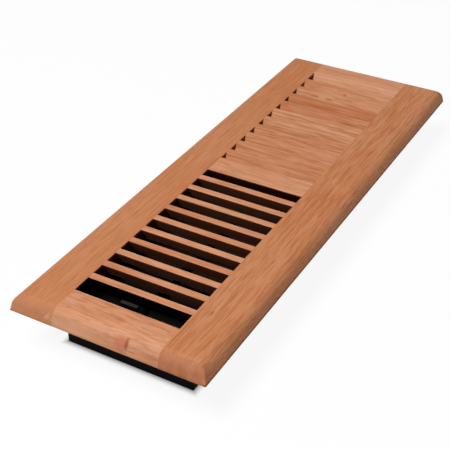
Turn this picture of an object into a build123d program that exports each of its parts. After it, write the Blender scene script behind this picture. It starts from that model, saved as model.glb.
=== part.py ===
from build123d import *
import os
from math import ceil, cos, floor, radians, sin, tan

# Louvred oak floor register with a black damper box under it. Millimetres, +Z up.
# The origin is the middle of the box's bottom rim; X runs along the register, with the
# thumb tab at the -X end, and Y runs across it.

# Face frame
face_length = 393.7
face_width = 139.7
frame_thickness = 11.0
edge_lip = 3.0  # upright band left under the rounded-over edge
stile_width = 32.0
end_rail_width = 25.4
middle_rail_width = 19.6

# Slats
slat_pitch = 14.9
slat_land = 5.4  # width of a slat's top edge along X
slat_angle = 28.0  # lean from upright, also of the rail faces beside the slats
middle_gap = 8.6  # slot between the middle rail and the slats beside it
far_gap_least = 11.0  # least slot left at the far end rail

# Stub tenons and their mortises
tenon_length = 6.0
tenon_shoulder = 2.0
rail_tenon_shoulder = 3.0
middle_tenon_shoulder = 1.5
glue_gap = 0.05
mortise_spare = 0.5  # depth left past the end of a tenon

# Damper box
box_depth = 33.7  # from the frame's underside to the box's rim
box_wall = 2.0
box_end_cover = 1.05  # how far the box stands outside the louvre opening, at each end
box_side_cover = 8.9  # the same, at each side
box_corner = 0.8
flange_width = 7.0
flange_thickness = 2.0
seat_clearance = 0.3

# Screws through the flange
screw_length = 8.0
screw_radius = 1.4
screw_head_radius = 2.5
screw_head_angle = 82.0
screw_hole_clearance = 0.1
screw_spacing = 130.0
screws_per_side = 3
screw_recess_width = 0.7
screw_recess_depth = 0.8
screw_recess_length = 2.6

# Damper blades
blade_top_gap = 2.0
blade_bottom_gap = 1.7
blade_end_gap = 0.7
blade_side_gap = 0.6
blade_overlap_least = 1.5
blade_root_thickness = 1.7
blade_edge_thickness = 1.1
blade_open_angle = 6.0  # lean from upright
blade_closed_angle = 86.0
spine_radius = 2.0  # the spine runs on as the blade's trunnions
running_clearance = 0.08

# Cranks, link bar and thumb tab
link_thickness = 2.5
link_height = 5.0
link_offset = 2.3  # the bar lies this far to one side of the middle
link_spine_gap = 0.4
crank_pin_radius = 1.5
crank_eye_radius = 2.8
crank_ear_thickness = 2.0
crank_side_gap = 0.3
pin_head_radius = 1.9
pin_head_thickness = 0.8
notch_side_gap = 0.8
tab_width = 12.4
tab_pad = 2.8  # thickness of the pad that the thumb meets
tab_stem = 2.0
tab_pad_height = 2.5
tab_taper_height = 1.5
tab_below_face = 2.0
tab_rail_gap = 1.5  # left at the open end of the travel
tab_slat_gap = 1.6  # left at the shut end
tab_round = 0.9

# Heights and half sizes that follow
underside = box_depth
top = underside + frame_thickness
seat = underside + flange_thickness
edge_radius = frame_thickness - edge_lip
half_length = face_length / 2
half_width = face_width / 2
opening_half_width = half_width - stile_width
opening_half_length = half_length - end_rail_width
box_half_length = opening_half_length + box_end_cover
box_half_width = opening_half_width + box_side_cover
flange_half_length = box_half_length + flange_width
flange_half_width = box_half_width + flange_width
inner_half_length = box_half_length - box_wall
inner_half_width = box_half_width - box_wall

# Damper motion: modelled half open, with the cranks upright, to swing evenly both ways
blade_swing = blade_closed_angle - blade_open_angle
half_swing = radians(blade_swing / 2)
lean = radians((blade_open_angle + blade_closed_angle) / 2)
crank_rise = spine_radius + link_spine_gap + link_height / 2
crank_radius = crank_rise / cos(half_swing)
link_travel = 2 * crank_radius * sin(half_swing)

# Blade layout: as many as close the box with the least overlap
blade_chord = box_depth - blade_top_gap - blade_bottom_gap
pivot_height = blade_bottom_gap + blade_chord / 2
first_blade = -(inner_half_length - blade_end_gap - blade_chord / 2)
blade_spans = ceil(-2 * first_blade / (blade_chord - blade_overlap_least))
blade_pitch = -2 * first_blade / blade_spans
blade_places = [first_blade + i * blade_pitch for i in range(blade_spans + 1)]
blade_half_length = inner_half_width - blade_side_gap

# Slat layout: the first slot is wide enough for the thumb tab and its travel
lever_slot = tab_rail_gap + tab_pad + link_travel + tab_slat_gap
slat_gap = slat_pitch - slat_land
slope = tan(radians(slat_angle))
slat_room = 2 * opening_half_length - lever_slot - middle_rail_width
slat_room = slat_room - 2 * middle_gap - far_gap_least + 2 * slat_gap
slat_count = floor(slat_room / slat_pitch)
near_count = ceil(slat_count / 2)
far_count = slat_count - near_count
near_start = -opening_half_length + lever_slot
middle_near = near_start + near_count * slat_pitch - slat_gap + middle_gap
middle_far = middle_near + middle_rail_width
far_start = middle_far + middle_gap

# Each slat's near top edge and the way its lower edge leans, from the tab end on
slats = [(near_start + i * slat_pitch, 1) for i in range(near_count)]
slats += [(far_start + i * slat_pitch, -1) for i in range(far_count)]


def slat_outline(near_edge, way, high, low, grow=0.0):
    """Corners of a slat's slanted section between two heights, grown for a mortise."""
    high_shift = way * (top - high) * slope
    low_shift = way * (top - low) * slope
    return [
        (near_edge + high_shift - grow, high),
        (near_edge + high_shift + slat_land + grow, high),
        (near_edge + low_shift + slat_land + grow, low),
        (near_edge + low_shift - grow, low),
    ]


# Rail tenons lie inside the rounded edge and above the seat of the box
tenon_low = seat + tenon_shoulder
tenon_high = top - tenon_shoulder
rail_tenon_high = top - rail_tenon_shoulder
end_tenon_near = opening_half_length + rail_tenon_shoulder
end_tenon_far = half_length - edge_radius - rail_tenon_shoulder
middle_tenon_side = (top - tenon_low) * slope + middle_tenon_shoulder
middle_tenon = (middle_near + middle_tenon_side, middle_far - middle_tenon_side)
rail_tenons = [
    (-end_tenon_far, -end_tenon_near),
    middle_tenon,
    (end_tenon_near, end_tenon_far),
]
rail_tenon_height = rail_tenon_high - tenon_low
rail_tenon_middle = (rail_tenon_high + tenon_low) / 2

# Screws stand in the middle of the long flanges
screw_line = box_half_width + flange_width / 2
screw_places = [(i - (screws_per_side - 1) / 2) * screw_spacing for i in range(screws_per_side)]
pilot_radius = screw_radius + glue_gap
pilot_depth = screw_length - flange_thickness + mortise_spare

os.makedirs("parts", exist_ok=True)

# Stiles: the outer edge and both ends rounded over, blind mortises along the inner edge
for side, name in ((1, "left_stile"), (-1, "right_stile")):
    with BuildPart() as stile:
        with BuildSketch(Plane.YZ):
            with BuildLine():
                Polyline(
                    (side * (half_width - edge_radius), top),
                    (side * opening_half_width, top),
                    (side * opening_half_width, underside),
                    (side * half_width, underside),
                    (side * half_width, underside + edge_lip),
                )
                RadiusArc(
                    (side * half_width, underside + edge_lip),
                    (side * (half_width - edge_radius), top),
                    -side * edge_radius,
                )
            make_face()
        extrude(amount=half_length, both=True)
        with BuildSketch(Plane.XZ):
            with BuildLine():
                Polyline(
                    (-half_length, underside + edge_lip),
                    (-half_length, underside),
                    (half_length, underside),
                    (half_length, underside + edge_lip),
                )
                RadiusArc(
                    (half_length, underside + edge_lip),
                    (half_length - edge_radius, top),
                    -edge_radius,
                )
                Line((half_length - edge_radius, top), (edge_radius - half_length, top))
                RadiusArc(
                    (edge_radius - half_length, top),
                    (-half_length, underside + edge_lip),
                    -edge_radius,
                )
            make_face()
        extrude(amount=half_width, both=True, mode=Mode.INTERSECT)
        # shallow recess that takes the flange of the box
        with BuildSketch(Plane.XY.offset(underside)):
            Rectangle(
                2 * (flange_half_length + seat_clearance),
                2 * (flange_half_width + seat_clearance),
            )
        extrude(amount=flange_thickness, mode=Mode.SUBTRACT)
        # mortises for the slats and rails
        with BuildSketch(Plane.XZ.offset(-side * opening_half_width)):
            for near_edge, way in slats:
                outline = slat_outline(
                    near_edge, way, tenon_high + glue_gap, tenon_low - glue_gap, glue_gap
                )
                Polygon(*outline, align=None)
            for start, end in rail_tenons:
                with Locations(((start + end) / 2, rail_tenon_middle)):
                    Rectangle(end - start + 2 * glue_gap, rail_tenon_height + 2 * glue_gap)
        extrude(amount=-side * (tenon_length + mortise_spare), mode=Mode.SUBTRACT)
        # pilot holes for the flange screws
        with BuildSketch(Plane.XY.offset(seat)):
            with Locations(*[(x, side * screw_line) for x in screw_places]):
                Circle(pilot_radius)
        extrude(amount=pilot_depth, mode=Mode.SUBTRACT)
    stile.part.label = name
    export_step(stile.part, f"parts/{name}.step")

# End rails: rounded over at the outer edge, recessed for the flange, a tenon at each side;
# the far one leans in beside its slot as the slats do
for end, inner_slope, name in ((-1, 0, "lever_end_rail"), (1, slope, "far_end_rail")):
    with BuildPart() as end_rail:
        with BuildSketch(Plane.XZ):
            with BuildLine():
                Polyline(
                    (end * (half_length - edge_radius), top),
                    (end * opening_half_length, top),
                    (end * (opening_half_length - (top - seat) * inner_slope), seat),
                    (end * (flange_half_length + seat_clearance), seat),
                    (end * (flange_half_length + seat_clearance), underside),
                    (end * half_length, underside),
                    (end * half_length, underside + edge_lip),
                )
                RadiusArc(
                    (end * half_length, underside + edge_lip),
                    (end * (half_length - edge_radius), top),
                    -end * edge_radius,
                )
            make_face()
        extrude(amount=opening_half_width, both=True)
        with BuildSketch(Plane.XZ):
            with Locations((end * (end_tenon_near + end_tenon_far) / 2, rail_tenon_middle)):
                Rectangle(end_tenon_far - end_tenon_near, rail_tenon_height)
        extrude(amount=opening_half_width + tenon_length, both=True)
    end_rail.part.label = name
    export_step(end_rail.part, f"parts/{name}.step")

# Middle rail: a keystone bar, as its sides lean with the slats beside them, with a tenon
# at each side
with BuildPart() as middle_rail:
    with BuildSketch(Plane.XZ):
        Polygon(
            (middle_near, top),
            (middle_far, top),
            (middle_far - frame_thickness * slope, underside),
            (middle_near + frame_thickness * slope, underside),
            align=None,
        )
    extrude(amount=opening_half_width, both=True)
    with BuildSketch(Plane.XZ):
        with Locations(((middle_near + middle_far) / 2, rail_tenon_middle)):
            Rectangle(middle_tenon[1] - middle_tenon[0], rail_tenon_height)
    extrude(amount=opening_half_width + tenon_length, both=True)
middle_rail.part.label = "middle_rail"
export_step(middle_rail.part, "parts/middle_rail.step")

# Slats: slanted bars, flush with the frame above and below, with slanted tenons
for number, (near_edge, way) in enumerate(slats, start=1):
    with BuildPart() as slat:
        with BuildSketch(Plane.XZ):
            Polygon(*slat_outline(near_edge, way, top, underside), align=None)
        extrude(amount=opening_half_width, both=True)
        with BuildSketch(Plane.XZ):
            Polygon(*slat_outline(near_edge, way, tenon_high, tenon_low), align=None)
        extrude(amount=opening_half_width + tenon_length, both=True)
    slat.part.label = f"slat_{number:02d}"
    export_step(slat.part, f"parts/slat_{number:02d}.step")

# Damper box: an open moulded frame with a flange round its top and bearing holes in its sides
with BuildPart() as damper_box:
    with BuildSketch():
        RectangleRounded(2 * box_half_length, 2 * box_half_width, box_corner)
    extrude(amount=seat)
    with BuildSketch(Plane.XY.offset(underside)):
        RectangleRounded(2 * flange_half_length, 2 * flange_half_width, box_corner)
    extrude(amount=flange_thickness)
    with BuildSketch():
        Rectangle(2 * inner_half_length, 2 * inner_half_width)
    extrude(amount=seat, mode=Mode.SUBTRACT)
    with BuildSketch(Plane.XZ):
        with Locations(*[(x, pivot_height) for x in blade_places]):
            Circle(spine_radius + running_clearance)
    extrude(amount=box_half_width, both=True, mode=Mode.SUBTRACT)
    for side in (1, -1):
        for x in screw_places:
            with Locations(Plane((x, side * screw_line, underside), z_dir=(0, 0, -1))):
                CounterSinkHole(
                    screw_radius + screw_hole_clearance,
                    screw_head_radius + screw_hole_clearance,
                    depth=flange_thickness,
                    counter_sink_angle=screw_head_angle,
                )
damper_box.part.label = "damper_box"
export_step(damper_box.part, "parts/damper_box.step")

# Flange screws: countersunk heads with a cross recess, driven up into the stiles
head_height = (screw_head_radius - screw_radius) / tan(radians(screw_head_angle / 2))
with BuildPart() as flange_screw:
    with BuildSketch(Plane.XZ):
        with BuildLine():
            Polyline(
                (0, 0),
                (screw_head_radius, 0),
                (screw_radius, head_height),
                (screw_radius, screw_length - screw_radius),
                (0, screw_length),
                close=True,
            )
        make_face()
    revolve(axis=Axis.Z)
    with BuildSketch():
        Rectangle(screw_recess_length, screw_recess_width)
        Rectangle(screw_recess_width, screw_recess_length)
    extrude(amount=screw_recess_depth, mode=Mode.SUBTRACT)

with BuildPart() as box_screws:
    with Locations(*[(x, s * screw_line, underside) for s in (1, -1) for x in screw_places]):
        add(flange_screw.part)
box_screws.part.label = "box_screws"
export_step(box_screws.part, "parts/box_screws.step")

# Damper blades: tapered webs on a round spine, notched for the link bar, each with a crank
link_near_face = link_offset - link_thickness / 2
link_far_face = link_offset + link_thickness / 2
ear_face = link_far_face + crank_side_gap
notch_face = link_near_face - notch_side_gap
crank_point = (-crank_radius * sin(lean), crank_radius * cos(lean))
notch_depth = blade_chord / 2 - spine_radius
for number, x in enumerate(blade_places, start=1):
    section = Plane((x, 0, pivot_height), (cos(lean), 0, -sin(lean)), (0, -1, 0))
    with BuildPart() as blade:
        with BuildSketch(section):
            Polygon(
                (blade_edge_thickness / 2, blade_chord / 2),
                (-blade_edge_thickness / 2, blade_chord / 2),
                (-blade_root_thickness / 2, 0),
                (-blade_edge_thickness / 2, -blade_chord / 2),
                (blade_edge_thickness / 2, -blade_chord / 2),
                (blade_root_thickness / 2, 0),
                align=None,
            )
        extrude(amount=blade_half_length, both=True)
        with BuildSketch(section.offset(-ear_face)):
            with Locations((0, spine_radius + notch_depth / 2)):
                Rectangle(2 * spine_radius, notch_depth)
        extrude(amount=ear_face - notch_face, mode=Mode.SUBTRACT)
        with BuildSketch(section):
            Circle(spine_radius)
        extrude(amount=box_half_width, both=True)
        # crank ear beside the notch
        with BuildSketch(section.offset(-ear_face)):
            Circle(spine_radius)
            with Locations(crank_point):
                Circle(crank_eye_radius)
            make_hull()
        extrude(amount=-crank_ear_thickness)
        # crank pin, with a snap head that keeps the bar on
        with BuildSketch(section.offset(-ear_face)):
            with Locations(crank_point):
                Circle(crank_pin_radius)
        extrude(amount=ear_face - link_near_face + crank_side_gap)
        with BuildSketch(section.offset(crank_side_gap - link_near_face)):
            with Locations(crank_point):
                Circle(pin_head_radius)
        extrude(amount=pin_head_thickness)
    blade.part.label = f"damper_blade_{number:02d}"
    export_step(blade.part, f"parts/damper_blade_{number:02d}.step")

# Damper link: a flat bar on the crank pins, with the thumb tab rising at its near end
crank_height = pivot_height + crank_radius
tab_near = tab_rail_gap + link_travel / 2 - opening_half_length
tab_top = top - tab_below_face
stem_bottom = crank_height - link_height / 2
with BuildPart() as damper_link:
    with BuildSketch(Plane.XZ.offset(-link_offset)):
        with Locations(((tab_near + blade_places[-1]) / 2, crank_height)):
            Rectangle(blade_places[-1] - tab_near, link_height)
        with Locations((blade_places[-1], crank_height)):
            Circle(link_height / 2)
        with Locations(*[(x, crank_height) for x in blade_places]):
            Circle(crank_pin_radius + running_clearance, mode=Mode.SUBTRACT)
    extrude(amount=link_thickness / 2, both=True)
    with BuildSketch(Plane.XZ.offset(-link_offset)):
        Polygon(
            (tab_near, stem_bottom),
            (tab_near, tab_top),
            (tab_near + tab_pad, tab_top),
            (tab_near + tab_pad, tab_top - tab_pad_height),
            (tab_near + tab_stem, tab_top - tab_pad_height - tab_taper_height),
            (tab_near + tab_stem, stem_bottom),
            align=None,
        )
    extrude(amount=tab_width / 2, both=True)
    fillet(damper_link.edges().group_by(Axis.Z)[-1], tab_round)
damper_link.part.label = "damper_link"
export_step(damper_link.part, "parts/damper_link.step")
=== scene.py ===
import math

import bmesh
import bpy
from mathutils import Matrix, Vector


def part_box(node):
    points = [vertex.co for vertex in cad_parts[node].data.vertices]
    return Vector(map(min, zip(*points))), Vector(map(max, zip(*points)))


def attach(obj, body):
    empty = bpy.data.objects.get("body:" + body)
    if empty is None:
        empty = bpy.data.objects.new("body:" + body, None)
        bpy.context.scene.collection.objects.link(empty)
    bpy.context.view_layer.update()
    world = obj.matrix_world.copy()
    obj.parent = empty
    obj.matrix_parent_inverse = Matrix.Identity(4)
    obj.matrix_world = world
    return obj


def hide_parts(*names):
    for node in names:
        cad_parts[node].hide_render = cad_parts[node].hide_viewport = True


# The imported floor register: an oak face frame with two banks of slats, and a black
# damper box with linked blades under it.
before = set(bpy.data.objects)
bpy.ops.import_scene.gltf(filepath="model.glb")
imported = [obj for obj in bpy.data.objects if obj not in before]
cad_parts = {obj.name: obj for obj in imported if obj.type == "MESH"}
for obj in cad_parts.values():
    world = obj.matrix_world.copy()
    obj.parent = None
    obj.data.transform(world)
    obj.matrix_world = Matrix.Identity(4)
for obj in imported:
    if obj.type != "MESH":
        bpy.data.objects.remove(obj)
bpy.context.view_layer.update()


# Stiles. The two long oak boards at the sides of the face, moulded round at their outer
# edge and ends, sanded and clear coated. The grain runs along them, and blind mortises
# in their inner edges hold the rails and slats.
class Wire:
    """A socket of a material's node, with sums on values that add Math nodes."""

    def __init__(self, socket):
        self.socket = socket

    def node(self, kind, settings=None, inputs=None, outlet=0):
        """Adds a node beside this one: its settings first, then its values and links."""
        tree = self.socket.id_data
        made = tree.nodes.new("ShaderNode" + kind)
        for name, value in (settings or {}).items():
            setattr(made, name, value)
        for name, value in (inputs or {}).items():
            if isinstance(value, Wire):
                tree.links.new(value.socket, made.inputs[name])
            else:
                made.inputs[name].default_value = value
        return Wire(made.outputs[outlet])

    def math(self, operation, *values):
        return self.node("Math", {"operation": operation}, dict(enumerate(values)))

    def __add__(self, other):
        return self.math("ADD", self, other)

    def __sub__(self, other):
        return self.math("SUBTRACT", self, other)

    def __mul__(self, other):
        return self.math("MULTIPLY", self, other)

    def __rsub__(self, other):
        return self.math("SUBTRACT", other, self)

    def __abs__(self):
        return self.math("ABSOLUTE", self)

    __radd__ = __add__
    __rmul__ = __mul__

    def larger(self, other):
        """The larger of two values."""
        return self.math("MAXIMUM", self, other)

    def step(self, low, high):
        """0 below low, 1 above high, and a smooth climb between them."""
        span = {"Value": self, "From Min": low, "From Max": high}
        return self.node("MapRange", {"interpolation_type": "SMOOTHSTEP"}, span)

    def stored(self, name, outlet="Vector"):
        """What a board's mesh stores under a name."""
        return self.node("Attribute", {"attribute_name": name}, {}, outlet)

    def parts(self):
        """The three values of a vector."""
        made = self.node("SeparateXYZ", {}, {0: self}).socket.node
        return [Wire(outlet) for outlet in made.outputs]

    def joined(self, y, z):
        """A vector from this value and two more."""
        return self.node("CombineXYZ", {}, {0: self, 1: y, 2: z})

    def scaled(self, x, y, z):
        return self.node("VectorMath", {"operation": "MULTIPLY"}, {0: self, 1: (x, y, z)})

    def away_from(self, point):
        """How far a vector lies from a point."""
        return self.node("VectorMath", {"operation": "DISTANCE"}, {0: self, 1: point}, 1)

    def spot(self, centre, reach):
        """1 about a point, falling to 0 at its own reach along each axis."""
        middle = [c / r for c, r in zip(centre, reach)]
        return 1 - self.scaled(*(1 / r for r in reach)).away_from(middle).step(0.3, 1.0)

    def noise(self, detail=2.0, rough=0.5):
        inputs = {"Vector": self, "Scale": 1.0, "Detail": detail, "Roughness": rough}
        return self.node("TexNoise", {}, inputs)

    def marks(self, along, across, low, high, detail=2.0, rough=0.5):
        """Marks where noise climbs from low to high, so many to a metre along and across."""
        return self.scaled(along, across, across).noise(detail, rough).step(low, high)

    def blend(self, first, second):
        """A colour between two, with this value as the share of the second."""
        return self.node("Mix", {"data_type": "RGBA"}, {0: self, 6: first, 7: second}, 2)

    def relief(self, strength, depth):
        """A bump of this height, for a shader's Normal."""
        return self.node("Bump", {}, {"Strength": strength, "Distance": depth, "Height": self})

    def feeds(self, node, inlet):
        self.socket.id_data.links.new(self.socket, node.inputs[inlet])


def finish_of(name):
    """A new material, its shader, and the wire of its Object coordinates."""
    made = bpy.data.materials.new(name)
    made.use_nodes = True
    shader = made.node_tree.nodes["Principled BSDF"]
    place = made.node_tree.nodes.new("ShaderNodeTexCoord").outputs["Object"]
    return made, shader, Wire(place)


def shade(red, green, blue):
    """A colour given as it looks on a screen, from 0 to 255, for a shader."""
    linear = [((c / 255 + 0.055) / 1.055) ** 2.4 for c in (red, green, blue)]
    return (*linear, 1.0)


MM = 0.001
STILE_LOW, STILE_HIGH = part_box("left_stile")
HALF_LENGTH, HALF_WIDTH, FACE = STILE_HIGH
OPENING_SIDE, UNDERSIDE = STILE_LOW.y, STILE_LOW.z
OPENING_END = -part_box("lever_end_rail")[1].x
# places nearer than the first count as one, and a board's vertices nearer than the second
# are merged
NEAR, SAME = 0.1 * MM, 0.002 * MM
# the moulded edge: its round, the lip under it, and how far the lip leans out to its foot
ROUND = 8 * MM
LIP = FACE - UNDERSIDE - ROUND
LEAN = math.radians(12)
RIDGE_EASE, FOOT_EASE = 0.9 * MM, 0.2 * MM

# one oak for all boards: each vertex knows its place in the log, and each board its tint
# and how strong its lines, its dashes and its wave are
RING = 4.4 * MM
oak, shader, place = finish_of("oak")
log = place.stored("log")
warm, pale, end = place.stored("tint").parts()
lines, dashes, wave = place.stored("figure").parts()
# the share of painted shade that a wall in the opening takes
wall_shade = place.stored("wall_shade", "Fac")
along, across, deep = log.parts()
ripple = log.scaled(30, 55, 55).noise(1.0) * wave
bent = across + log.scaled(5, 17, 17).noise() * (9 * MM) + ripple * (4 * MM)
grain = along.joined(bent, deep)
from_pith = grain.scaled(0, 1, 1).away_from((0.0, 0.0, 0.0))
growth = from_pith * (1 / RING) + grain.scaled(7, 45, 45).noise() * 2.2
ring = growth.math("FRACT", growth)
early = ring.step(0.0, 0.15) * (1 - ring.step(0.3, 0.7))
cloud = grain.marks(9, 60, 0.38, 0.68)
blotch = grain.marks(34, 110, 0.50, 0.70)
line = grain.marks(24, 950, 0.46, 0.64, rough=0.6)
dash = grain.marks(45, 580, 0.47, 0.64, rough=0.55) * (early * 0.3 + 0.7)
fleck = grain.marks(85, 420, 0.48, 0.64, detail=3.0, rough=0.6)
pore = grain.marks(130, 2600, 0.55, 0.68, detail=1.0) * (early * 0.6 + 0.4)
fibre = grain.scaled(24, 1500, 1500).noise(2.0, 0.6)
mottle = log.scaled(60, 200, 90).noise(3.0).step(0.32, 0.70)
colour = pale.blend(shade(198, 128, 80), shade(227, 166, 128))
for share, tone in (
    (cloud * 0.4, shade(204, 125, 79)),
    (warm * (cloud * 0.3 + 0.7), shade(188, 98, 57)),
    (blotch * pale * 0.35, shade(229, 170, 138)),
    (line * lines, shade(173, 100, 54)),
    (dash * dashes * 0.6, shade(174, 96, 44)),
    (fleck * wave * 0.45, shade(182, 110, 66)),
    (pore * dashes * 0.35, shade(126, 70, 38)),
    (end * (mottle * 0.35 + 0.40), shade(160, 84, 54)),
):
    colour = share.blend(colour, tone)
# marks at one place of the log, by their reach in millimetres: a pin knot on the near rail's
# edge with a red halo, mineral streaks in some boards, crumbs of pale filler in the near
# joint of the left stile, and a pale patch of the rail beside it
HALO, KNOT, STREAK = shade(190, 92, 60), shade(146, 62, 38), shade(140, 84, 46)
FILLER, PATCH = shade(230, 180, 152), shade(236, 184, 150)
crumb = log.marks(480, 480, 0.40, 0.60) * 0.6
for centre, reach, strength, tone in (
    ((0.6885, -0.0545, 0.1005), (7.0, 6.0, 6.0), 0.5, HALO),
    ((0.6844, -0.0545, 0.1008), (1.8, 6.0, 5.0), 0.8, KNOT),
    ((12.8610, 0.1029, 0.1024), (6.0, 1.20, 1.0), 0.6, STREAK),
    ((12.8485, 0.1029, 0.1024), (5.0, 1.08, 0.9), 0.6, STREAK),
    ((13.2705, 0.2030, 0.1018), (2.2, 1.08, 0.9), 0.6, STREAK),
    ((11.9565, 0.1406, 0.1018), (12.0, 0.96, 0.8), 0.6, STREAK),
    ((4.1502, 0.0528, 0.0247), (3.5, 0.96, 0.8), 0.6, STREAK),
    ((2.9046, 0.0615, 0.0893), (4.0, 7.0, 3.0), crumb, FILLER),
    ((0.7350, -0.0557, 0.0987), (6.0, 4.0, 3.5), crumb, FILLER),
    ((0.7220, -0.0555, 0.0975), (24.0, 6.0, 6.0), 0.4, PATCH),
):
    mark = log.spot(centre, [length * MM for length in reach])
    colour = (mark * strength).blend(colour, tone)
# painted shade dims the moulded edge at the ends, painted light makes its sides brighter and
# redder, and painted shade darkens it along its foot
x, y, z = place.parts()
depth = FACE - z
rim = abs(x).step(HALF_LENGTH - 9.5 * MM, HALF_LENGTH - 5.5 * MM)
# painted shade on the round at the ends, less of it towards its foot
end_shade = depth.step(0.0, 1.2 * MM) * 0.30 - depth.step(5.0 * MM, 8.0 * MM) * 0.14
colour = (rim * end_shade).blend(colour, shade(150, 104, 78))
side = abs(y).step(HALF_WIDTH - 3.0 * MM, HALF_WIDTH - 1.0 * MM)
# painted light on the lower band of the sides, brighter and redder
colour = (side * depth.step(3.5 * MM, 7.5 * MM) * 0.45).blend(colour, shade(236, 142, 84))
# painted shade along the foot of the sides, and a little along the foot at the ends
foot = (side * 0.75).larger(rim * 0.2) * depth.step(9.0 * MM, 10.6 * MM)
colour = foot.blend(colour, shade(70, 38, 23))
# painted shade darkens the walls in the opening below the face, redder in the far bank,
# and paints those of the first slot, where the tab slides, black
NEAR_WALL_SHADE, FAR_WALL_SHADE, SLOT_WALL_SHADE = shade(86, 50, 40), shade(108, 36, 22), shade(9, 8, 8)
inside = wall_shade * depth.step(0.2 * MM, 2.2 * MM)
wall_shade_tone = x.step(4 * MM, 12 * MM).blend(NEAR_WALL_SHADE, FAR_WALL_SHADE)
colour = inside.blend(colour, wall_shade_tone)
first_slot = 1 - x.step(-153 * MM, -149 * MM)
black = wall_shade.step(0.0, 0.2) * first_slot * depth.step(0.0, 1.0 * MM)
colour = black.blend(colour, SLOT_WALL_SHADE)
colour.feeds(shader, "Base Color")
(pore * 0.16 + fibre * 0.12 + 0.5).feeds(shader, "Roughness")
(fibre * 0.3 - pore - dash * 0.4).relief(0.25, 0.12 * MM).feeds(shader, "Normal")
shader.inputs["IOR"].default_value = 1.33
shader.inputs["Specular IOR Level"].default_value = 0.3


def leaned(point):
    """Where a point of the outer edge goes when the lip under its round leans out to the foot."""
    limits = (HALF_LENGTH, HALF_WIDTH)
    insets = [limit - abs(c) for limit, c in zip(limits, point)]
    inset, rise = min(insets), point.z - UNDERSIDE - LIP
    # only points of the round move, and those at the foot of the lip and inside it stay
    if rise < -NEAR or abs(math.hypot(ROUND - inset, rise) - ROUND) > NEAR / 2:
        return point
    # the round keeps its radius, and stands farther in, so that the leaning lip runs into it
    turn = LEAN + math.atan2(rise, ROUND - inset) * (1 - LEAN / math.radians(90))
    middle = (ROUND + LIP * math.sin(LEAN)) / math.cos(LEAN)
    moved = point.copy()
    moved.z = UNDERSIDE + LIP + ROUND * math.sin(turn)
    for axis in (0, 1):
        if insets[axis] < inset + NEAR / 2:
            far = limits[axis] - middle + ROUND * math.cos(turn)
            moved[axis] = math.copysign(far, point[axis])
    return moved


# faces that meet at less than the first angle are one, an edge over the second can be
# eased, and one over the third is shaded sharp
FLAT, ARRIS, SHARP = math.radians(0.5), math.radians(20), math.radians(28)


def eased(node, cuts, finish):
    """A copy of a CAD node with some edges eased, which stands in its place.

    Each cut has a width, a number of facets, and a test of an edge's two ends.
    """
    form = bmesh.new()
    form.from_mesh(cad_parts[node].data)
    bmesh.ops.remove_doubles(form, verts=form.verts, dist=SAME)
    bmesh.ops.dissolve_limit(form, angle_limit=FLAT, verts=form.verts, edges=form.edges)
    for vertex in form.verts:
        vertex.co = leaned(vertex.co)
    for width, facets, wanted in cuts:
        edges = [
            e for e in form.edges
            if len(e.link_faces) == 2 and e.calc_face_angle() > ARRIS
            and wanted(*(v.co for v in e.verts))
        ]
        bmesh.ops.bevel(
            form, geom=edges, offset=width, offset_type="OFFSET", segments=facets,
            profile=0.5, affect="EDGES", material=-1, clamp_overlap=True,
        )
        bmesh.ops.remove_doubles(form, verts=form.verts, dist=SAME)
    for face in form.faces:
        face.smooth = True
    mesh = bpy.data.meshes.new(node + "_eased")
    form.to_mesh(mesh)
    form.free()
    mesh.set_sharp_from_angle(angle=SHARP)
    mesh.materials.clear()
    mesh.materials.append(finish)
    piece = bpy.data.objects.new(node + "_eased", mesh)
    bpy.context.scene.collection.objects.link(piece)
    piece.modifiers.new("even shading", "WEIGHTED_NORMAL").keep_sharp = True
    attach(piece, "frame")
    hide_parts(node)
    return piece


# how much of the figure is lost on end grain, and the slopes at which a face is taken to
# look down, up, or across the register
END_FADE = 0.8
LOOKS_DOWN, LOOKS_UP, LOOKS_ACROSS = -0.1, 0.3, 0.9


def cut_from_log(piece, log_place, board, tint, figure, wall_shading):
    """Stores where each vertex lay in the log, the board's warmth and paleness, the share of
    end grain and the figure that fades there, and which walls in the opening take painted shade.

    The board gives a point's place along the grain, across it, and up.
    """
    mesh = piece.data
    warmth, paleness, end_share = tint
    tints, figures, wall_shades = [], [], []
    for face in mesh.polygons:
        endward = abs(face.normal.x) > abs(face.normal.y) and face.normal.z > LOOKS_DOWN
        for corner in face.vertices:
            turn = (abs(mesh.vertices[corner].co.x) - HALF_LENGTH) / ROUND + 1
            turn = endward * min(max(turn, 0.0), 1.0)
            fade = 1 - END_FADE * turn * (end_share > 0)
            tints += (warmth, paleness, end_share * turn)
            figures += (part * fade for part in figure)
        # a wall that runs along the register counts by its end nearest the middle
        ends = [abs(mesh.vertices[corner].co.x) for corner in face.vertices]
        middle = min(ends) if abs(face.normal.y) > LOOKS_ACROSS else abs(face.center.x)
        within = middle < OPENING_END + NEAR and abs(face.center.y) < OPENING_SIDE + NEAR
        # faces in the opening that look down or across take the painted shade of the walls
        wall_shades.append(wall_shading * (within and face.normal.z < LOOKS_UP))
    spots = [Vector(board(*vertex.co)) + Vector(log_place) for vertex in mesh.vertices]
    places = [number for spot in spots for number in spot]
    mesh.attributes.new("log", "FLOAT_VECTOR", "POINT").data.foreach_set("vector", places)
    mesh.attributes.new("tint", "FLOAT_VECTOR", "CORNER").data.foreach_set("vector", tints)
    mesh.attributes.new("figure", "FLOAT_VECTOR", "CORNER").data.foreach_set("vector", figures)
    mesh.attributes.new("wall_shade", "FLOAT", "FACE").data.foreach_set("value", wall_shades)


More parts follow.
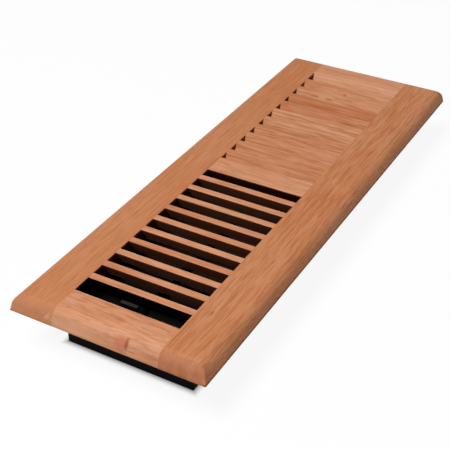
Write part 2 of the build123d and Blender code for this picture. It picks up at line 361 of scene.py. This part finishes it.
def outer_foot(a, b):
    """Whether an edge runs along the foot of the frame's outer band."""
    return all(
        p.z < UNDERSIDE + NEAR
        and (abs(p.x) > HALF_LENGTH - NEAR or abs(p.y) > HALF_WIDTH - NEAR)
        for p in (a, b)
    )


def corner_ridge(a, b):
    """Whether an edge climbs one of the frame's four outer corners."""
    return a.x * b.x > 0 and all(
        abs((HALF_LENGTH - abs(p.x)) - (HALF_WIDTH - abs(p.y))) < NEAR
        and HALF_LENGTH - abs(p.x) < FACE - UNDERSIDE
        for p in (a, b)
    )


for node, log_place, tint, figure in (
    ("left_stile", (3.1, 0.02, 0.05), (0.08, 0.34, 0.30), (0.25, 0.55, 0.3)),
    ("right_stile", (4.3, 0.10, -0.02), (0.07, 0.48, 1.0), (0.35, 0.90, 0.5)),
):
    cuts = [(RIDGE_EASE, 3, corner_ridge), (FOOT_EASE, 2, outer_foot)]
    piece = eased(node, cuts, oak)
    cut_from_log(piece, log_place, lambda x, y, z: (x, y, z), tint, figure, 1.0)


# Rails. Oak cross pieces at the two ends and the middle, tenoned between the stiles, with
# the grain across the register. The end rails carry the same rounded edge as the stiles.
RAIL_EASE = 0.3 * MM


def rail_arris(a, b):
    """Whether an edge is a rail's long edge at the face, or its outer foot."""
    high = min(a.z, b.z) > FACE - NEAR and abs(a.x - b.x) < NEAR
    return outer_foot(a, b) or high


for node, log_place, tint, figure in (
    ("lever_end_rail", (0.7, 0.14, 0.06), (0.03, 1.00, 0.0), (0.20, 0.60, 1.0)),
    ("middle_rail", (1.3, 0.09, 0.03), (0.05, 0.95, 0.0), (0.30, 0.60, 0.6)),
    ("far_end_rail", (1.9, -0.12, 0.02), (0.0, 1.0, 0.0), (0.25, 0.40, 0.3)),
):
    piece = eased(node, [(RAIL_EASE, 2, rail_arris)], oak)
    cut_from_log(piece, log_place, lambda x, y, z: (y, x, z), tint, figure, 1.0)


# Slats. Thin oak bars set on a slant between the stiles, leaning one way in the near bank
# and the other way in the far bank, and sanded flush with the frame. Each is cut from
# another place of the board, so no two have the same tone.
# the slats' walls in the opening take part of the painted shade that stiles and rails take in
# full
SLAT_EASE, SLAT_SLOPE, SLAT_WALL_SHADING = 0.3 * MM, math.tan(math.radians(28.0)), 0.6
NEAR_FIGURE, FAR_FIGURE = (0.35, 0.5, 0.6), (0.6, 0.5, 0.5)
LOG_START, LOG_STEP, LOG_SIDE, LOG_SWING, LOG_LEVEL = 5.1, 0.43, 0.05, 2.4, 0.06
SLAT_TINTS = [
    (0.05, 1.00), (0.20, 1.00), (0.05, 1.00), (0.35, 0.90), (0.05, 1.00),
    (0.15, 1.00), (0.35, 0.95), (0.15, 1.00), (0.05, 1.00), (0.15, 1.00),
    (0.16, 0.60), (0.18, 0.74), (0.10, 1.00), (0.30, 0.74), (0.10, 0.80),
    (0.02, 1.00), (0.56, 0.76), (0.60, 0.50), (0.14, 0.80), (0.06, 0.92),
]


def slat_arris(a, b):
    """Whether an edge is one of a slat's long ones."""
    return abs(a.y - b.y) > OPENING_SIDE and max(abs(a.y), abs(b.y)) < OPENING_SIDE + NEAR


slat_nodes = sorted(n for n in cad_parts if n.startswith("slat_"))
for number, (node, tint) in enumerate(zip(slat_nodes, SLAT_TINTS)):
    near_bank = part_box(node)[0].x < 0
    lean = SLAT_SLOPE if near_bank else -SLAT_SLOPE
    figure = NEAR_FIGURE if near_bank else FAR_FIGURE
    piece = eased(node, [(SLAT_EASE, 2, slat_arris)], oak)
    # each lies farther along the log than the last, and to one side of it or the other
    beside = LOG_SIDE * math.sin(LOG_SWING * number)
    log_place = (LOG_START + LOG_STEP * number, beside, LOG_LEVEL)
    cut_from_log(
        piece, log_place, lambda x, y, z: (y, x - lean * (FACE - z), z),
        (*tint, 0.0), figure, SLAT_WALL_SHADING,
    )


# Damper box. A moulded black plastic frame screwed under the face, open above and below,
# with a flange let into the oak. Its skin is a fine even matte from the mould.
RIM_EASE = 0.3 * MM
BLACK, WORN = shade(4, 4, 5), shade(11, 11, 12)
RUB_SPREAD = 0.16


def moulded(name, base, rough, shine, film=None):
    """Black moulded plastic: a fine matte skin with faint rub marks.

    A film of wear or dust has the number of an axis, where on it the film starts, where it
    is full, and its colour.
    """
    finish, shader, place = finish_of(name)
    skin = place.scaled(2600, 2600, 2600).noise()
    rub = place.scaled(60, 60, 60).noise(3.0)
    colour = (rub.step(0.45, 0.75) * 0.5).blend(base, WORN)
    if film:
        axis, start, full, tone = film
        share = place.parts()[axis].step(start, full)
        colour = (share * (rub * 0.5 + 0.7)).blend(colour, tone)
    colour.feeds(shader, "Base Color")
    (rub * RUB_SPREAD + (rough - RUB_SPREAD / 2)).feeds(shader, "Roughness")
    skin.relief(0.35, 0.05 * MM).feeds(shader, "Normal")
    shader.inputs["IOR"].default_value = 1.45
    shader.inputs["Specular IOR Level"].default_value = shine
    return finish


def rim_edge(a, b):
    """Whether an edge runs round the foot of the box, outside or inside."""
    return max(a.z, b.z) < NEAR


box_finish = moulded("black_box", BLACK, 0.62, 0.05)
eased("damper_box", [(RIM_EASE, 2, rim_edge)], box_finish)

# Screws. Six small countersunk zinc screws hold the flange of the box to the stiles. Their
# copy has no cuts, and only closes the slivers at the tips.
zinc, shader, place = finish_of("zinc")
brush = place.scaled(900, 900, 900).noise(3.0)
plated = brush.step(0.3, 0.8).blend(shade(178, 178, 172), shade(206, 205, 198))
plated.feeds(shader, "Base Color")
(brush * 0.2 + 0.26).feeds(shader, "Roughness")
shader.inputs["Metallic"].default_value = 1.0
eased("box_screws", [], zinc)


# Damper blades. Twelve black plastic blades that turn on trunnions in the sides of the box.
# Those under the slats have a film of brown wood dust.
def dress(node, finish):
    """Gives a CAD node its finish."""
    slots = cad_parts[node].data.materials
    slots.clear()
    slots.append(finish)


DUST = (0, -128 * MM, -118 * MM, shade(30, 19, 15))
blade_finish = moulded("black_blades", shade(6, 5, 5), 0.58, 0.06, DUST)
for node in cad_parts:
    if node.startswith("damper_blade_"):
        dress(node, blade_finish)

# Link and thumb tab. A flat bar that joins the cranks, and its upturned end that a
# fingertip slides in the first slot.
TAB_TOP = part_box("damper_link")[1].z
RUBBED = (2, TAB_TOP - 1.1 * MM, TAB_TOP - 0.3 * MM, shade(50, 44, 39))
dress("damper_link", moulded("black_link", BLACK, 0.6, 0.05, RUBBED))

# Floor, light and camera. A white sweep under the register, a soft lamp high on the left
# in front, a dim surround, and a camera at the height and angle of a hand-held picture.
SWEEP, SWEEP_DROP = 5.0, 0.2 * MM
SWEEP_RISE = ((0.0, 0.0), (SWEEP, 0.0), (SWEEP + 0.6, 0.4), (SWEEP + 0.9, 1.6))
SWEEP_BOUNCE, SWEEP_SEEN = (0.62, 0.62, 0.62, 1.0), (0.98, 0.98, 0.98, 1.0)
WHITE = (1.0, 1.0, 1.0, 1.0)
SWEEP_GLOW = 0.92
form = bmesh.new()
profile = [form.verts.new((out, 0, up - SWEEP_DROP)) for out, up in SWEEP_RISE]
edges = [form.edges.new(pair) for pair in zip(profile, profile[1:])]
bmesh.ops.spin(
    form, geom=profile + edges, cent=(0, 0, 0), axis=(0, 0, 1), angle=math.tau,
    steps=64, use_merge=True,
)
bmesh.ops.remove_doubles(form, verts=form.verts, dist=NEAR)
bmesh.ops.recalc_face_normals(form, faces=form.faces)
mesh = bpy.data.meshes.new("white_sweep")
form.to_mesh(mesh)
form.free()
floor = bpy.data.objects.new("white_sweep", mesh)
bpy.context.scene.collection.objects.link(floor)
white, shader, place = finish_of("white_sweep")
shader.inputs["Roughness"].default_value = 0.9
shader.inputs["Specular IOR Level"].default_value = 0.0
tree = white.node_tree
rays = tree.nodes.new("ShaderNodeLightPath").outputs
kinds = ("Is Camera Ray", "Is Glossy Ray", "Is Transmission Ray")
direct, mirrored, through = (Wire(rays[kind]) for kind in kinds)
shown = direct.larger(mirrored).larger(through)
shown.blend(SWEEP_BOUNCE, SWEEP_SEEN).feeds(shader, "Base Color")
glow = shown.node("Emission", {}, {"Color": WHITE, "Strength": 1.0})
# the floor that shows glows white, but for the part seen through the open damper
x, y, _ = place.parts()
box_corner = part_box("damper_box")[1]
beyond = abs(x).step(box_corner.x - 10 * MM, box_corner.x - 2 * MM)
aside = abs(y).step(box_corner.y - 10 * MM, box_corner.y - 2 * MM)
share = shown * beyond.larger(aside) * SWEEP_GLOW
soft = shown.node("MixShader", {}, {0: share, 1: Wire(shader.outputs[0]), 2: glow})
soft.feeds(tree.nodes["Material Output"], "Surface")
mesh.materials.append(white)

world = bpy.data.worlds.new("dim surround")
world.use_nodes = True
bpy.context.scene.world = world
world.node_tree.nodes["Background"].inputs["Color"].default_value = WHITE
world.node_tree.nodes["Background"].inputs["Strength"].default_value = 0.02

LAMP_TOWARD = Vector((-0.46, 0.08, 0.88)).normalized()
LAMP_DISTANCE, LAMP_WIDTH, LAMP_POWER = 3.2, 1.4, 107.0
lamp = bpy.data.lights.new("softbox", "AREA")
lamp.shape = "DISK"
lamp.size = LAMP_WIDTH
lamp.energy = LAMP_POWER
lamp_object = bpy.data.objects.new("softbox", lamp)
lamp_object.location = Vector((0, 0, FACE)) + LAMP_TOWARD * LAMP_DISTANCE
lamp_object.rotation_euler = LAMP_TOWARD.to_track_quat("Z", "Y").to_euler()
bpy.context.scene.collection.objects.link(lamp_object)

CAMERA_PLACE = (-0.55844, -0.28618, 0.43461)
CAMERA_TILT, CAMERA_TURN = math.radians(55.43), math.radians(-60.582)
camera = bpy.data.cameras.new("camera")
camera.lens = 82.07
camera.sensor_width = 36.0
camera_object = bpy.data.objects.new("camera", camera)
camera_object.location = CAMERA_PLACE
camera_object.rotation_euler = (CAMERA_TILT, 0.0, CAMERA_TURN)
bpy.context.scene.collection.objects.link(camera_object)
bpy.context.scene.camera = camera_object
bpy.context.scene.view_settings.view_transform = "Standard"
